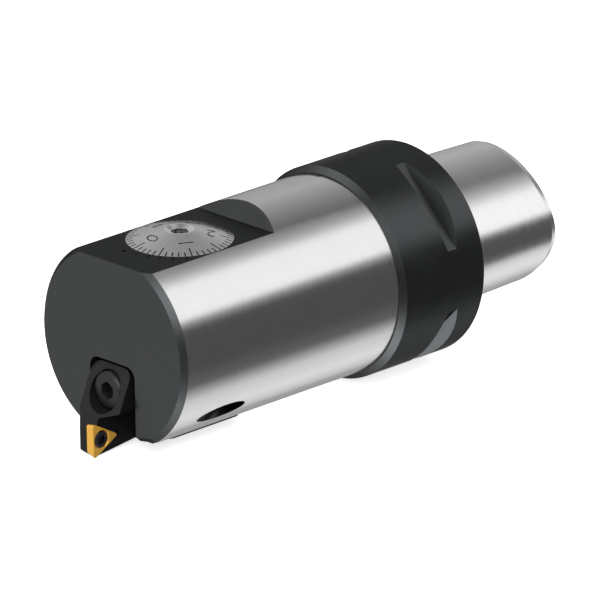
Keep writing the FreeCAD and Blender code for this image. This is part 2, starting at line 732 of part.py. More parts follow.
def make_backlash_spring():
    """Compression spring round the feed screw, between the feed nut and the slot's roof."""
    wide, thick = spring_wide.number / 2, spring_thick.number / 2
    low = (nut_top + spring_seat).number + thick
    high = slot_ceiling.number - thick
    pitch = (high - low) / spring_turns.number
    helix = Part.makeHelix(pitch, high - low, spring_radius.number)
    middle = spring_radius.number
    corners = [V(middle - wide, 0, -thick), V(middle + wide, 0, -thick),
               V(middle + wide, 0, thick), V(middle - wide, 0, thick)]
    wire = Part.makePolygon([*corners, corners[0]])
    coil = Part.Wire(helix.Edges).makePipeShell([wire], True, True)
    spring = doc.addObject("Part::Feature", "backlash_spring_solid")
    spring.Shape = coil
    place(spring, (*dial_axis, low))
    return node(spring, "backlash_spring")


# ---------------------------------------------------------------- cartridge
seat_plane = front - clamp_proud + cap_height
clamp_length = slide_front - seat_plane + clamp_bite
clamp_start = (slide_front, clamp_side, -clamp_drop)
nut_pin_level = nut_low + nut_pin_rise
dowel_spots = [(clamp_side + dowel_out, -clamp_drop - dowel_low),
               (clamp_side - dowel_in, -clamp_drop + dowel_high)]
cheek = slide_width / 2
nose = front - nose_reach
edge_x = front - edge_reach
insert_high = insert_side * (math.sqrt(3.0) / 2)


def make_cartridge_block():
    """Side outline padded across, with rounded top corners and an upright chamfer."""
    brow = front + brow_depth
    body = new_body("cartridge_block")
    side = sketch_on(body, "cartridge_side", "XZ_Plane", lift=-cheek)
    polygon(side, [(slide_front, -plate_top), (brow, -plate_top), (nose, -nose_level),
                   (nose, -belly_front), (slide_front, -belly_rear)])
    pad = body.newObject("PartDesign::Pad", "cartridge_pad")
    pad.Profile = side
    bind(pad, "Length", cheek + plate_low)
    doc.recompute()
    shape = pad.Shape
    tops = [f"Edge{i + 1}" for i, edge in enumerate(shape.Edges)
            if edge.BoundBox.YLength < TOUCH and edge.BoundBox.ZLength < TOUCH
            and edge.CenterOfMass.z > -plate_top.number - TOUCH]
    soften = body.newObject("PartDesign::Fillet", "cartridge_corners")
    soften.Base = (pad, tops)
    bind(soften, "Radius", plate_corner)
    return body


def make_cartridge():
    x = slide_front
    blank = make_cartridge_block()
    sweep = rod("sweep_limit", sweep_radius, reach, (nose - over, ZERO, ZERO), "+X")
    chamfer = padded("cheek_cutter", "XY_Plane",
                     [(nose - over, cheek - cheek_chamfer - over), (nose - over, cheek + over),
                      (nose + cheek_chamfer + over, cheek + over)],
                     reach, lift=-reach)
    gullet = padded("gullet_cutter", "YZ_Plane",
                    [(gullet_floor, -reach), (gullet_floor, -gullet_roof),
                     (-plate_low, -gullet_roof + gullet_rise),
                     (-plate_low - over, -gullet_roof + gullet_rise), (-plate_low - over, -reach)],
                    gullet_end + nose_reach + over, lift=nose - over)
    bore = rod("clamp_counterbore", cap_radius + cap_gap, reach,
               (seat_plane, clamp_side, -clamp_drop), "-X")
    hole = rod("clamp_hole", clamp_radius + cap_gap, reach, (x + over, clamp_side, -clamp_drop),
               "-X")
    seat = make_insert_prism("insert_seat", seat_gap, insert_thick, ZERO)
    relief = rod("seat_relief", corner_relief, insert_thick + over,
                 (edge_x + insert_high, -over, -tip_drop + insert_side / 2), "+Y")
    screw_hole = rod("insert_thread", small_stem, small_length + hole_space,
                     (insert_centre[0], ZERO, insert_centre[1]), "+Y")
    dowels = [rod(f"cartridge_dowel_hole{i}", dowel_radius, dowel_half + pin_space,
                  (x, side, drop), "-X") for i, (side, drop) in enumerate(dowel_spots)]
    limited = common("cartridge_swept", blank, sweep)
    return node(cut("cartridge_solid", limited, chamfer, gullet, bore, hole, seat, relief,
                    screw_hole, *dowels), "cartridge")


def make_cartridge_screw():
    """Socket head cap screw that pulls the cartridge onto the slide."""
    under = (seat_plane, clamp_side, -clamp_drop)
    top = seat_plane - cap_height
    head = rod("cap_head", cap_radius, cap_height - cap_edge, under, "-X")
    crown = cone("cap_crown", cap_radius, cap_radius - cap_edge, cap_edge,
                 (top + cap_edge, clamp_side, -clamp_drop), "-X")
    stem = rod("cap_stem", clamp_radius, clamp_length, under, "+X")
    socket = hexagon("cap_hex", socket_width, cap_socket + over,
                     (top - over, clamp_side, -clamp_drop), "+X")
    return node(cut("cartridge_screw_solid", fuse("cap_screw_blank", head, crown, stem), socket),
                "cartridge_screw")


def make_cartridge_dowels():
    pins = [rod(f"dowel{i}", dowel_radius, dowel_half * 2,
                (slide_front - dowel_half, side, drop), "+X")
            for i, (side, drop) in enumerate(dowel_spots)]
    group = doc.addObject("Part::Compound", "cartridge_dowels_group")
    group.Links = pins
    return node(group, "cartridge_dowels")


# ---------------------------------------------------------------- insert
insert_centre = (edge_x + insert_high / 3, -tip_drop + insert_side / 2)


def make_insert_prism(name, grow, depth, start):
    """Triangle standing on its front edge, leaning in by the clearance angle."""
    body = new_body(name)
    sketch = sketch_on(body, f"{name}_outline", "XZ_Plane", lift=-start)
    wide = grow * math.sqrt(3.0)
    polygon(sketch, [
        (edge_x - grow, -tip_drop - wide), (edge_x + insert_high + grow * 2,
                                            -tip_drop + insert_side / 2),
        (edge_x - grow, -tip_drop + insert_side + wide)])
    pad = body.newObject("PartDesign::Pad", f"{name}_pad")
    pad.Profile = sketch
    pad.Reversed = True
    bind(pad, "Length", depth)
    bind(pad, "TaperAngle", -insert_lean)
    return body


def make_insert():
    """Triangular insert with rounded corners and a countersunk hole."""
    body = make_insert_prism("insert_body", ZERO, insert_thick, ZERO)
    doc.recompute()
    pad = body.Tip
    corners = [f"Edge{i + 1}" for i, edge in enumerate(pad.Shape.Edges)
               if edge.BoundBox.YLength > insert_thick.number - TOUCH]
    soften = body.newObject("PartDesign::Fillet", "insert_noses")
    soften.Base = (pad, corners)
    bind(soften, "Radius", insert_nose)
    x, z = insert_centre
    hole = rod("insert_hole", insert_bore, insert_thick + over * 2, (x, -over, z), "+Y")
    sink = cone("insert_hole_sink", insert_bore + insert_sink, insert_bore, insert_sink_depth,
                (x, ZERO, z), "+Y")
    return node(cut("insert_solid", body, hole, sink), "insert")


def make_insert_screw():
    """Small countersunk screw through the insert."""
    x, z = insert_centre
    neck = small_sunk + small_edge
    foot = neck + small_taper
    head = rod("insert_screw_rim", small_rim, small_edge, (x, small_sunk, z), "+Y")
    taper = cone("insert_screw_cone", small_rim, small_stem, small_taper, (x, neck, z), "+Y")
    stem = rod("insert_screw_stem", small_stem, small_length - foot, (x, foot, z), "+Y")
    socket = rod("insert_screw_recess", small_recess, small_recess + over,
                 (x, small_sunk - over, z), "+Y")
    return node(cut("insert_screw_solid", fuse("insert_screw_blank", head, taper, stem), socket),
                "insert_screw")


# ---------------------------------------------------------------- lock and stop
def make_lock_screw():
    """Set screw that clamps the slide, reached from the +Y side."""
    at = (lock_x, screw_face, -lock_drop)
    stem = rod("lock_screw_stem", lock_radius, lock_length, at, "+Y")
    mouth = (lock_x, screw_face + lock_length + over, -lock_drop)
    socket = hexagon("lock_screw_socket", socket_width, socket_depth + over, mouth, "-Y")
    return node(cut("lock_screw_solid", stem, socket), "lock_screw")


def make_lock_pad():
    """Brass pad between the lock screw and the side of the slide."""
    pad = rod("lock_pad_solid", lock_radius - run_gap, pad_length, (lock_x, pad_face, -lock_drop),
              "+Y")
    return node(pad, "lock_pad")


def make_stop_pin():
    pin = rod("stop_pin_solid", stop_radius, stop_length, (stop_x, stop_face, -stop_drop), "+Y")
    return node(pin, "stop_pin")


def build():
    make_head()
    make_bearing_bush()
    make_thrust_washers()
    make_bearing_nut()
    make_dial_seal()
    make_stop_pin()
    make_adjusting_screw()
    make_scale_disc()
    make_slide()
    make_feed_nut()
    make_nut_pin()
    make_spring_seat()
    make_backlash_spring()
    make_cartridge()
    make_cartridge_screw()
    make_cartridge_dowels()
    make_insert()
    make_insert_screw()
    make_lock_screw()
    make_lock_pad()


def check():
    """Stop if any object failed, or if a sub-part isn't a sound solid."""
    for obj in doc.Objects:
        bad = [state for state in obj.State if state in ("Invalid", "Error")]
        if bad:
            raise RuntimeError(f"{obj.Name} is {bad}")
    for name, obj in nodes:
        shape = obj.Shape
        if shape.isNull() or not shape.isValid() or shape.Volume <= 0:
            raise RuntimeError(f"{name} is not a sound solid")


build()
doc.recompute()
check()
os.makedirs("parts", exist_ok=True)
for name, obj in nodes:
    obj.Shape.exportStep(f"parts/{name}.step")
    print(f"{name:18s} solids {len(obj.Shape.Solids)}  volume {obj.Shape.Volume:10.3f}")
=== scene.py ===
"""Looks for the fine boring head: finishes, dial marks, insert screw, studio and camera.

Row frame, metres. The tool axis is X, the dial is on top (+Z) and the cutting tip is at -Z.
"""

import math

import bpy
from mathutils import Matrix, Vector


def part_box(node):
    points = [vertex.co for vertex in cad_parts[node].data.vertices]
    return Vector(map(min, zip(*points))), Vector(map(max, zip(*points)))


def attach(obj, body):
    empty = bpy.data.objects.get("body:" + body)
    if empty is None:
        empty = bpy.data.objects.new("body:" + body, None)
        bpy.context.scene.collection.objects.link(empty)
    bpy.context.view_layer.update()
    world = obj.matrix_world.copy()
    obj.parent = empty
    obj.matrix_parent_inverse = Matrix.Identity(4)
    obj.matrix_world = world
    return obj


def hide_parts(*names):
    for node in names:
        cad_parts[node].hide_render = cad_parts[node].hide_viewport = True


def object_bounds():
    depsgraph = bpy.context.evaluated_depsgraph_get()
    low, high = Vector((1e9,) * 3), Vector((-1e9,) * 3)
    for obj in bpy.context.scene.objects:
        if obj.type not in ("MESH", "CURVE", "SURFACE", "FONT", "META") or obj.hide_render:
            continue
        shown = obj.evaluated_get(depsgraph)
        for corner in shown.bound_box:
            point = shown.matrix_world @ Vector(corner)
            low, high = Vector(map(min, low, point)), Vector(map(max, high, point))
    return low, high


MM = 0.001
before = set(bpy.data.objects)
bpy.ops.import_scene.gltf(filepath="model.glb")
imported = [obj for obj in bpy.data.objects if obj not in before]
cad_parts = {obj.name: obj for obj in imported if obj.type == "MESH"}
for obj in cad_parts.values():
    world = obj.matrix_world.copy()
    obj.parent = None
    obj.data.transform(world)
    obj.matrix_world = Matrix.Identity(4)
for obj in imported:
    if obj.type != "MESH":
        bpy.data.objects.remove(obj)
cad_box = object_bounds()


# ---------------------------------------------------------------- sizes taken from the frame
def middle(node):
    low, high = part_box(node)
    return (low + high) / 2


disc_low, disc_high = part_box("scale_disc")
DIAL = middle("scale_disc")
DISC_RADIUS = (disc_high.x - disc_low.x) / 2
FLAT = 16.0 * MM            # top flat above the axis
HEAD_RADIUS = 18.83 * MM    # ground cylinder
FLANGE_LENGTH = 20.9 * MM   # gauge face to the front of the flange
SHANK_CORE = 11.0 * MM      # between the shank's bores and its outside
CROWN_RADIUS = 2.95 * MM    # flat crown of the dial
RIM = FLAT + 0.05 * MM      # rim of the dial
CONE_SLOPE = (disc_high.z - RIM) / (DISC_RADIUS - CROWN_RADIUS)


# ---------------------------------------------------------------- node helpers
NOISE_ROUGHNESS = 0.55
NOISE_LOW = 0.3
NOISE_HIGH = 0.7
BUMP_DEPTH = 0.01 * MM


class Nodes:
    """A small wrapper that adds and links shader nodes."""

    def __init__(self, tree):
        self.tree = tree
        tree.nodes.clear()

    def add(self, kind, **settings):
        node = self.tree.nodes.new(kind)
        for key, value in settings.items():
            setattr(node, key, value)
        return node

    def link(self, source, target):
        self.tree.links.new(source, target)

    def put(self, socket, value):
        if isinstance(value, bpy.types.NodeSocket):
            self.link(value, socket)
        else:
            socket.default_value = value

    def math(self, operation, a, b=0.0, clamp=False):
        node = self.add("ShaderNodeMath", operation=operation, use_clamp=clamp)
        self.put(node.inputs[0], a)
        self.put(node.inputs[1], b)
        return node.outputs[0]

    def blend(self, factor, a, b):
        """Colour a where factor is 0, b where it is 1."""
        node = self.add("ShaderNodeMix", data_type="RGBA")
        self.put(node.inputs[0], factor)
        self.put(node.inputs[6], a)
        self.put(node.inputs[7], b)
        return node.outputs[2]

    def step(self, value, edge, soft):
        """0 below the edge, 1 above it, over a soft width."""
        node = self.add("ShaderNodeMapRange", interpolation_type="SMOOTHSTEP")
        self.put(node.inputs[0], value)
        node.inputs[1].default_value = edge - soft
        node.inputs[2].default_value = edge + soft
        return node.outputs[0]

    def noise(self, scale, stretch=(1.0, 1.0, 1.0), detail=3.0):
        coords = self.add("ShaderNodeTexCoord")
        mapping = self.add("ShaderNodeMapping")
        mapping.inputs["Scale"].default_value = stretch
        self.link(coords.outputs["Object"], mapping.inputs["Vector"])
        node = self.add("ShaderNodeTexNoise")
        self.link(mapping.outputs[0], node.inputs["Vector"])
        node.inputs["Scale"].default_value = scale
        node.inputs["Detail"].default_value = detail
        node.inputs["Roughness"].default_value = NOISE_ROUGHNESS
        return node.outputs["Fac"]

    def spread(self, value, low, high):
        """Noise value brought to a range."""
        node = self.add("ShaderNodeMapRange")
        self.put(node.inputs[0], value)
        node.inputs[1].default_value = NOISE_LOW
        node.inputs[2].default_value = NOISE_HIGH
        node.inputs[3].default_value = low
        node.inputs[4].default_value = high
        return node.outputs[0]

    def bump(self, height, strength):
        node = self.add("ShaderNodeBump")
        node.inputs["Strength"].default_value = strength
        node.inputs["Distance"].default_value = BUMP_DEPTH
        self.link(height, node.inputs["Height"])
        return node.outputs[0]

    def finish(self, colour, roughness, normal=None, metallic=1.0, **sockets):
        shader = self.add("ShaderNodeBsdfPrincipled")
        self.put(shader.inputs["Base Color"], colour)
        self.put(shader.inputs["Roughness"], roughness)
        self.put(shader.inputs["Metallic"], metallic)
        for name, value in sockets.items():
            shader.inputs[name.replace("_", " ")].default_value = value
        if normal is not None:
            self.link(normal, shader.inputs["Normal"])
        out = self.add("ShaderNodeOutputMaterial")
        self.link(shader.outputs[0], out.inputs["Surface"])
        return shader


def new_material(name):
    material = bpy.data.materials.new(name)
    material.use_nodes = True
    return material, Nodes(material.node_tree)


def grey(level, tint=(1.0, 1.0, 1.0)):
    return (level * tint[0], level * tint[1], level * tint[2], 1.0)


COOL = (0.95, 1.0, 1.03)
NEUTRAL = (1.0, 1.0, 1.0)
FINE = 2600.0             # scale of tool marks
GRAIN = 900.0             # scale of a visible grain
COATING = 400.0           # scale of the unevenness of a coating
CLOUDS = 160.0            # scale of soft clouds
BROAD_CLOUDS = 120.0
ROUND_THE_AXIS = (1.0, 0.04, 0.04)


def plain_metal(name, light, dark, roughness, tint=NEUTRAL):
    """A metal whose colour and roughness vary a little with a fine grain."""
    material, n = new_material(name)
    grain = n.noise(GRAIN)
    cloud = n.noise(BROAD_CLOUDS)
    colour = n.blend(cloud, grey(dark, tint), grey(light, tint))
    rough = n.spread(grain, roughness * 0.85, roughness * 1.2)
    n.finish(colour, rough, n.bump(grain, 0.15))
    return material


def ground_finish(name, dark, light, smoothest, roughest):
    """Fine ground steel: faint marks round the tool axis."""
    material, n = new_material(name)
    lathe = n.noise(FINE, ROUND_THE_AXIS, detail=2.0)
    cloud = n.noise(CLOUDS, detail=4.0)
    colour = n.blend(cloud, grey(dark), grey(light))
    n.finish(colour, n.spread(lathe, smoothest, roughest), n.bump(lathe, 0.12))
    return material


def oxide_finish(name, light, dark, roughness, metallic, edge):
    """Black oxide on milled steel: cool, close to black, a little uneven."""
    material, n = new_material(name)
    cloud = n.noise(CLOUDS, detail=4.0)
    grain = n.noise(FINE, detail=2.0)
    colour = n.blend(cloud, grey(dark, COOL), grey(light, COOL))
    rough = n.spread(cloud, roughness * 0.88, roughness * 1.15)
    n.finish(colour, rough, n.bump(grain, 0.12), metallic, Specular_Tint=grey(edge))
    return material


RING_PITCH = 0.12 * MM
RING_SHARE = 0.12


def dial_finish():
    """Satin chrome, turned in rings about the dial's axis."""
    material, n = new_material("dial_finish")
    coords = n.add("ShaderNodeTexCoord")
    mapping = n.add("ShaderNodeMapping")
    mapping.inputs["Location"].default_value = (-DIAL.x, 0.0, 0.0)
    n.link(coords.outputs["Object"], mapping.inputs["Vector"])
    parts = n.add("ShaderNodeSeparateXYZ")
    n.link(mapping.outputs[0], parts.inputs[0])
    x, y, _ = parts.outputs
    radius = n.math("SQRT", n.math("ADD", n.math("MULTIPLY", x, x), n.math("MULTIPLY", y, y)))
    rings = n.math("SINE", n.math("MULTIPLY", radius, 2 * math.pi / RING_PITCH))
    grain = n.noise(FINE, detail=2.0)
    mixed = n.math("ADD", n.math("MULTIPLY", rings, RING_SHARE), grain)
    colour = n.blend(grain, grey(0.58), grey(0.70))
    rough = n.spread(grain, 0.15, 0.24)
    n.finish(colour, rough, n.bump(mixed, 0.18))
    return material


DEEP_GOLD = (0.72, 0.37, 0.045, 1.0)
PALE_GOLD = (0.84, 0.47, 0.075, 1.0)


def carbide_finish():
    """Gold coated carbide."""
    material, n = new_material("carbide_finish")
    cloud = n.noise(COATING)
    grain = n.noise(FINE)
    colour = n.blend(cloud, DEEP_GOLD, PALE_GOLD)
    n.finish(colour, n.spread(grain, 0.28, 0.42), n.bump(grain, 0.2), metallic=0.35)
    return material


def soft_material(name, colour, roughness):
    """Rubber, ink and painted shade: no metal and no gloss, a faint mottling."""
    material, n = new_material(name)
    grain = n.noise(GRAIN)
    darker = tuple(c * 0.7 for c in colour)
    mixed = n.blend(grain, (*darker, 1.0), (*colour, 1.0))
    n.finish(mixed, n.spread(grain, roughness * 0.9, roughness * 1.1), metallic=0.0,
             Specular_IOR_Level=0.0)
    return material


def dress(obj, material):
    obj.data.materials.clear()
    obj.data.materials.append(material)


def smooth(obj, angle=30.0):
    """Smooth shading that keeps edges sharper than the angle."""
    mesh = obj.data
    mesh.shade_smooth()
    mesh.set_sharp_from_angle(angle=math.radians(angle))


GROUND = ground_finish("ground_steel", 0.62, 0.67, 0.12, 0.18)
TAPER = ground_finish("taper_steel", 0.68, 0.74, 0.17, 0.24)
# Polished steel of the adjusting screw, lighter than the other steels: partly its own finish and
# partly a painted highlight for the ring round the hex socket.
CROWN_STEEL_AND_HIGHLIGHT = plain_metal("crown_steel_and_highlight", 0.90, 0.82, 0.16)
HEAD_OXIDE = oxide_finish("head_oxide", 0.066, 0.054, 0.30, metallic=0.9, edge=0.36)
DIAL_CHROME = dial_finish()
CARBIDE = carbide_finish()
# Matt black print for the ticks, numerals and vernier lines; the same black is painted shade for
# the index hole.
INK_AND_HOLE_SHADE = soft_material("ink_and_hole_shade", (0.004, 0.004, 0.008), 0.5)
RUBBER = soft_material("rubber", (0.02, 0.02, 0.02), 0.7)
# Black oxide of the cartridge and slide, made far darker than the head's oxide: partly its own
# colour and partly painted shade on its faces and in the screw's counterbore.
DARK_OXIDE_AND_SHADE = oxide_finish("cartridge_oxide_and_shade", 0.014, 0.010, 0.42, metallic=0.35, edge=0.24)
SCREW_BLACK = oxide_finish("screw_oxide", 0.040, 0.030, 0.38, metallic=0.6, edge=0.30)
HARD_STEEL = plain_metal("hardened_steel", 0.62, 0.54, 0.22)
SPRING_STEEL = plain_metal("spring_steel", 0.42, 0.34, 0.30)
BRONZE = plain_metal("bronze", 0.48, 0.40, 0.34, tint=(1.0, 0.66, 0.36))
BRASS = plain_metal("brass", 0.66, 0.56, 0.30, tint=(1.0, 0.76, 0.36))
VIOLET_STEEL = plain_metal("violet_steel", 0.15, 0.10, 0.30, tint=(1.0, 0.90, 1.0))

FINISHES = {
    "head_body": HEAD_OXIDE,
    "scale_disc": DIAL_CHROME,
    "adjusting_screw": CROWN_STEEL_AND_HIGHLIGHT,
    "insert": CARBIDE,
    "insert_screw": VIOLET_STEEL,
    "cartridge": DARK_OXIDE_AND_SHADE,
    "slide": DARK_OXIDE_AND_SHADE,
    "cartridge_screw": SCREW_BLACK,
    "lock_screw": SCREW_BLACK,
    "dial_seal": RUBBER,
    "backlash_spring": SPRING_STEEL,
    "bearing_bush": BRONZE,
    "feed_nut": BRONZE,
    "lock_pad": BRASS,
}
for name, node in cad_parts.items():
    dress(node, FINISHES.get(name, HARD_STEEL))
    smooth(node)


BLACK_SLOT = 0
CYLINDER_SLOT = 1
TAPER_SLOT = 2
FACET_SAG = 0.03 * MM


def head_slot(mesh, face):
    """Material slot of a face of the head, by where it lies and which way it looks."""
    points = [mesh.vertices[i].co for i in face.vertices]
    inner = min(math.hypot(p.y, p.z) for p in points)
    if face.center.x > 0:
        return TAPER_SLOT if inner > SHANK_CORE and face.normal.x < 0.5 else BLACK_SLOT
    before_flange = face.center.x < -FLANGE_LENGTH and abs(face.normal.x) < 0.2
    outside = inner > HEAD_RADIUS - FACET_SAG
    return CYLINDER_SLOT if before_flange and outside else BLACK_SLOT


def grind_head():
    """Two more materials on the head: it is bright where it is ground."""
    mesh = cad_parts["head_body"].data
    mesh.materials.append(GROUND)
    mesh.materials.append(TAPER)
    for face in mesh.polygons:
        face.material_index = head_slot(mesh, face)


grind_head()


# ---------------------------------------------------------------- marks
def mesh_object(name, points, faces, material, body):
    mesh = bpy.data.meshes.new(name)
    mesh.from_pydata(points, [], faces)
    mesh.update()
    obj = bpy.data.objects.new(name, mesh)
    bpy.context.scene.collection.objects.link(obj)
    dress(obj, material)
    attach(obj, body)
    return obj


INK_LIFT = 0.012 * MM
INK_DEEP = 0.05 * MM


def cone_height(radius):
    """Height of the dial's surface at a radius."""
    return RIM + (DISC_RADIUS - radius) * CONE_SLOPE


def bar(points, faces, near, far, half):
    """A thin raised bar from one point to another, on top of the surface."""
    along = (far - near).normalized()
    side = along.cross(Vector((0, 0, 1))).normalized() * half
    first = len(points)
    for end in (near, far):
        for lift in (INK_LIFT, -INK_DEEP):
            for sign in (-1, 1):
                points.append(tuple(end + side * sign + Vector((0, 0, lift))))
    quads = ((0, 1, 5, 4), (2, 6, 7, 3), (0, 4, 6, 2), (1, 3, 7, 5), (0, 2, 3, 1), (4, 5, 7, 6))
    faces.extend(tuple(first + i for i in quad) for quad in quads)


def on_dial(radius, angle):
    return Vector((DIAL.x + radius * math.cos(angle), radius * math.sin(angle),
                   cone_height(radius)))


DIVISIONS = 50
LONG_EVERY = 5
NUMBER_EVERY = 10
ZERO_ANGLE = math.radians(168.0)
TICK_OUT = DISC_RADIUS - 0.06 * MM
TICK_SHORT = 8.45 * MM
TICK_LONG = 7.25 * MM
TICK_HALF = 0.11 * MM
NUMBER_RADIUS = 5.6 * MM
NUMBER_SIZE = 4.2 * MM
NUMBER_THIN = 0.105 * MM
NUMBER_THICK = 0.01 * MM


def make_dial_ticks():
    points, faces = [], []
    for i in range(DIVISIONS):
        angle = ZERO_ANGLE + 2 * math.pi * i / DIVISIONS
        inner = TICK_SHORT if i % LONG_EVERY else TICK_LONG
        bar(points, faces, on_dial(inner, angle), on_dial(TICK_OUT, angle), TICK_HALF)
    mesh_object("dial_ticks", points, faces, INK_AND_HOLE_SHADE, "dial")


def make_dial_number(number):
    """One numeral, its top towards the lower numbers, lying on the cone."""
    angle = ZERO_ANGLE + 2 * math.pi * number * NUMBER_EVERY / DIVISIONS
    out = Vector((math.cos(angle), math.sin(angle), -CONE_SLOPE)).normalized()
    up = Vector((math.sin(angle), -math.cos(angle), 0))
    right = -out
    normal = right.cross(up)
    curve = bpy.data.curves.new(f"dial_number_{number}", "FONT")
    curve.body = str(number)
    curve.size = NUMBER_SIZE
    curve.align_x = "CENTER"
    curve.align_y = "CENTER"
    curve.extrude = NUMBER_THICK
    curve.offset = -NUMBER_THIN
    obj = bpy.data.objects.new(f"dial_number_{number}", curve)
    bpy.context.scene.collection.objects.link(obj)
    turn = Matrix((right, up, normal)).transposed().to_4x4()
    obj.matrix_world = Matrix.Translation(on_dial(NUMBER_RADIUS, angle)) @ turn
    curve.materials.append(INK_AND_HOLE_SHADE)
    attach(obj, "dial")


VERNIER_LINES = 5
VERNIER_STEP = math.radians(12.96)
VERNIER_FIRST = ZERO_ANGLE + math.radians(13.6)
VERNIER_IN = DISC_RADIUS + 0.15 * MM
VERNIER_OUT = DISC_RADIUS + 1.5 * MM
VERNIER_HALF = 0.13 * MM


def make_vernier():
    """Short lines on the flat outside the dial, stepped from the painted shade of the index hole.
    """
    points, faces = [], []
    for i in range(VERNIER_LINES):
        angle = VERNIER_FIRST + VERNIER_STEP * i
        way = Vector((math.cos(angle), math.sin(angle), 0))
        base = Vector((DIAL.x, 0, FLAT))
        bar(points, faces, base + way * VERNIER_IN, base + way * VERNIER_OUT, VERNIER_HALF)
    mesh_object("vernier_lines", points, faces, INK_AND_HOLE_SHADE, "head")


DOT_PLACE = 11.6 * MM
DOT_RADIUS = 0.42 * MM
DOT_SIDES = 24


def make_index_dot():
    """Flat black disc in front of the dial: painted shade standing in for the index hole."""
    spot = Vector((DIAL.x + DOT_PLACE * math.cos(ZERO_ANGLE), DOT_PLACE * math.sin(ZERO_ANGLE),
                   FLAT))
    points = [tuple(spot + Vector((0, 0, INK_LIFT)))]
    for lift in (INK_LIFT, -INK_DEEP):
        for i in range(DOT_SIDES):
            a = 2 * math.pi * i / DOT_SIDES
            step = Vector((DOT_RADIUS * math.cos(a), DOT_RADIUS * math.sin(a), lift))
            points.append(tuple(spot + step))
    faces = []
    for i in range(DOT_SIDES):
        j = (i + 1) % DOT_SIDES
        faces.append((0, 1 + i, 1 + j))
        faces.append((1 + i, 1 + DOT_SIDES + i, 1 + DOT_SIDES + j, 1 + j))
    mesh_object("index_hole_shade", points, faces, INK_AND_HOLE_SHADE, "head")


make_dial_ticks()
for number in range(DIVISIONS // NUMBER_EVERY):
    make_dial_number(number)
make_vernier()
make_index_dot()


# ---------------------------------------------------------------- insert screw, six-lobe recess
RECESS_LOBES = 6
LOBE_SWING = 0.13 * MM
RECESS_LAND = 1.02 * MM      # where the flat face starts to give way to the lobes
RECESS_TOP = 0.82 * MM
RECESS_EDGE = (0.05 * MM, 0.80 * MM)     # depth and mean radius
RECESS_WALL = (0.9 * MM, 0.76 * MM)
RECESS_DEPTH = 1.0 * MM
STEM_INSET = 0.5 * MM
HEAD_TAPER_END = 1.05 * MM
HEAD_TAPER_START = 0.25 * MM
HEAD_BEVEL = (0.06 * MM, 0.08 * MM)      # along the screw and on the radius
SCREW_SIDES = 96
SCREW_CREASE = 35.0


def insert_screw_rings():
    """Levels of the turned screw from its tip to the floor of its recess: y, radius, swing."""
    low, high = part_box("insert_screw")
    rim = (high.x - low.x) / 2
    stem = rim - STEM_INSET
    face = low.y
    return [
        (high.y, 0.0, 0.0), (high.y, stem, 0.0), (face + HEAD_TAPER_END, stem, 0.0),
        (face + HEAD_TAPER_START, rim, 0.0), (face + HEAD_BEVEL[0], rim, 0.0),
        (face, rim - HEAD_BEVEL[1], 0.0), (face, RECESS_LAND, 0.0), (face, RECESS_TOP, LOBE_SWING),
        (face + RECESS_EDGE[0], RECESS_EDGE[1], LOBE_SWING),
        (face + RECESS_WALL[0], RECESS_WALL[1], LOBE_SWING), (face + RECESS_DEPTH, 0.0, 0.0)]


def make_insert_screw():
    """Turned screw, its recess edged by six lobes."""
    centre = middle("insert_screw")
    rings = insert_screw_rings()
    points, faces = [], []
    for level, radius, swing in rings:
        for i in range(SCREW_SIDES):
            a = 2 * math.pi * i / SCREW_SIDES
            r = radius + swing * math.cos(RECESS_LOBES * a)
            points.append((centre.x + r * math.cos(a), level, centre.z + r * math.sin(a)))
    for k in range(len(rings) - 1):
        lower, upper = k * SCREW_SIDES, (k + 1) * SCREW_SIDES
        for i in range(SCREW_SIDES):
            j = (i + 1) % SCREW_SIDES
            faces.append((lower + i, lower + j, upper + j, upper + i))
    screw = mesh_object("six_lobe_screw", points, faces, VIOLET_STEEL, "slide")
    screw.data.validate()
    smooth(screw, SCREW_CREASE)
    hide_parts("insert_screw")


make_insert_screw()


# ---------------------------------------------------------------- studio
# Long soft boxes lie along the tool axis. Angle about that axis in degrees, radiance.
BANDS = [
    (0, 0.42), (35, 0.56), (66, 0.34), (88, 0.18), (104, 0.62), (116, 1.28), (150, 1.32),
    (157, 0.36), (164, 0.10), (206, 0.10), (228, 0.16), (248, 0.86), (272, 1.05), (292, 0.72),
    (300, 0.44), (322, 0.34), (338, 0.18), (350, 0.28)]
FRONT_BOOST = 4.2            # more light from ahead of the tool, between two slants
FRONT_FROM = (0.46, 0.16)    # share of the ray that points ahead, and how soft the edge is
FRONT_TO = (0.73, 0.07)
BACKDROP = 1.05              # radiance of what the camera sees past the floor


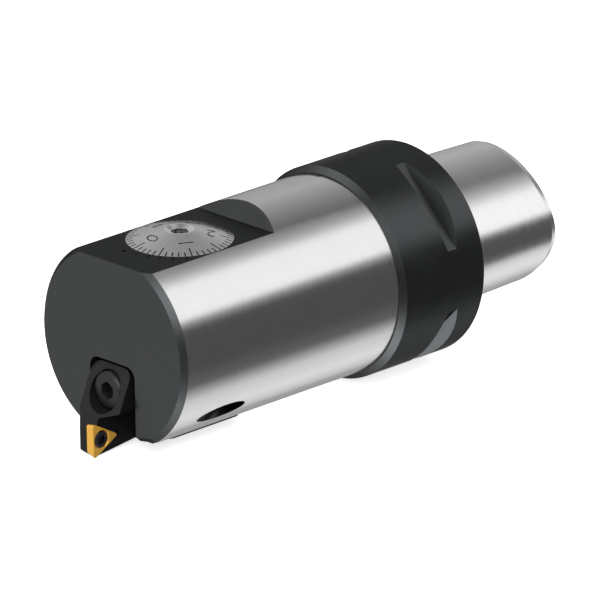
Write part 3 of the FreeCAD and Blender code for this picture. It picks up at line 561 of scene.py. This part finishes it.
def make_world():
    """Bands of light along the tool for the metal to mirror, and white for the camera."""
    world = bpy.data.worlds.new("studio")
    bpy.context.scene.world = world
    world.use_nodes = True
    n = Nodes(world.node_tree)
    coords = n.add("ShaderNodeTexCoord")
    parts = n.add("ShaderNodeSeparateXYZ")
    n.link(coords.outputs["Generated"], parts.inputs[0])
    turn = n.math("ARCTAN2", parts.outputs[2], parts.outputs[1])
    share = n.math("FRACT", n.math("DIVIDE", turn, 2 * math.pi))
    ramp = n.add("ShaderNodeValToRGB")
    elements = ramp.color_ramp.elements
    while len(elements) > 1:
        elements.remove(elements[-1])
    elements[0].position = 0.0
    elements[0].color = grey(BANDS[0][1])
    for angle, level in BANDS[1:]:
        elements.new(angle / 360.0).color = grey(level)
    elements.new(1.0).color = grey(BANDS[0][1])
    n.link(share, ramp.inputs[0])
    facing = n.math("MULTIPLY", parts.outputs[0], -1.0)
    ahead = n.math("SUBTRACT", n.step(facing, *FRONT_FROM), n.step(facing, *FRONT_TO))
    soft = n.add("ShaderNodeBackground")
    n.link(ramp.outputs[0], soft.inputs[0])
    n.link(n.math("ADD", n.math("MULTIPLY", ahead, FRONT_BOOST), 1.0), soft.inputs[1])
    white = n.add("ShaderNodeBackground")
    white.inputs[0].default_value = grey(1.0)
    white.inputs[1].default_value = BACKDROP
    path = n.add("ShaderNodeLightPath")
    mix = n.add("ShaderNodeMixShader")
    n.link(path.outputs["Is Camera Ray"], mix.inputs[0])
    n.link(soft.outputs[0], mix.inputs[1])
    n.link(white.outputs[0], mix.inputs[2])
    out = n.add("ShaderNodeOutputWorld")
    n.link(mix.outputs[0], out.inputs["Surface"])


FLOOR_HALF = 1.5
FLOOR_GAP = 0.02 * MM
FLOOR_PAINT = 0.9
FLOOR_GLOW = 0.72


def make_floor():
    """Pale floor that the object rests on; metal mirrors the studio and not the floor."""
    half = FLOOR_HALF
    level = cad_box[0].z - FLOOR_GAP
    mesh = bpy.data.meshes.new("floor")
    mesh.from_pydata([(-half, -half, level), (half, -half, level), (half, half, level),
                      (-half, half, level)], [], [(0, 1, 2, 3)])
    floor = bpy.data.objects.new("floor", mesh)
    bpy.context.scene.collection.objects.link(floor)
    material, n = new_material("floor")
    paint = n.add("ShaderNodeBsdfDiffuse")
    paint.inputs[0].default_value = grey(FLOOR_PAINT)
    glow = n.add("ShaderNodeEmission")
    glow.inputs[0].default_value = grey(1.0)
    glow.inputs[1].default_value = FLOOR_GLOW
    both = n.add("ShaderNodeAddShader")
    n.link(paint.outputs[0], both.inputs[0])
    n.link(glow.outputs[0], both.inputs[1])
    clear = n.add("ShaderNodeBsdfTransparent")
    path = n.add("ShaderNodeLightPath")
    mix = n.add("ShaderNodeMixShader")
    n.link(path.outputs["Is Camera Ray"], mix.inputs[0])
    n.link(clear.outputs[0], mix.inputs[1])
    n.link(both.outputs[0], mix.inputs[2])
    out = n.add("ShaderNodeOutputMaterial")
    n.link(mix.outputs[0], out.inputs["Surface"])
    dress(floor, material)


LAMP_TARGET = Vector((-30.0 * MM, 0, 0))
LAMP_DISTANCE = 0.8


def make_lamp(name, azimuth, elevation, size, power):
    """A soft area light that looks at the middle of the tool."""
    a, e = math.radians(azimuth), math.radians(elevation)
    way = Vector((math.sin(a) * math.cos(e), -math.cos(a) * math.cos(e), math.sin(e)))
    light = bpy.data.lights.new(name, "AREA")
    light.energy = power
    light.size = size
    lamp = bpy.data.objects.new(name, light)
    bpy.context.scene.collection.objects.link(lamp)
    lamp.location = LAMP_TARGET + way * LAMP_DISTANCE
    lamp.rotation_euler = way.to_track_quat("Z", "Y").to_euler()
    lamp.visible_glossy = False


make_world()
make_floor()
make_lamp("top_light", -20.0, 70.0, 0.5, 3.0)


# ---------------------------------------------------------------- camera
AZIMUTH = -43.67
ELEVATION = 20.03
ROLL = -0.83
DISTANCE = 1.7148
LENS = 562.47       # millimetres, for the sensor below
SENSOR = 36.0
LEFTWARD = 0.01987  # camera left of the line through the gauge point
DOWNWARD = 0.01001  # and below it
NEAREST = 0.05
FARTHEST = 20.0


def make_camera():
    """The photograph's view of the tool."""
    a, e, roll = (math.radians(v) for v in (AZIMUTH, ELEVATION, ROLL))
    back = Vector((math.sin(a) * math.cos(e), -math.cos(a) * math.cos(e), math.sin(e)))
    level = Vector((math.cos(a), math.sin(a), 0))
    plumb = back.cross(level)
    right = level * math.cos(roll) + plumb * math.sin(roll)
    up = plumb * math.cos(roll) - level * math.sin(roll)
    data = bpy.data.cameras.new("camera")
    data.lens = LENS
    data.sensor_width = SENSOR
    data.clip_start = NEAREST
    data.clip_end = FARTHEST
    camera = bpy.data.objects.new("camera", data)
    bpy.context.scene.collection.objects.link(camera)
    place = back * DISTANCE - right * LEFTWARD - up * DOWNWARD
    camera.matrix_world = (Matrix.Translation(place)
                           @ Matrix((right, up, back)).transposed().to_4x4())
    bpy.context.scene.camera = camera


make_camera()
bpy.context.scene.view_settings.view_transform = "Standard"
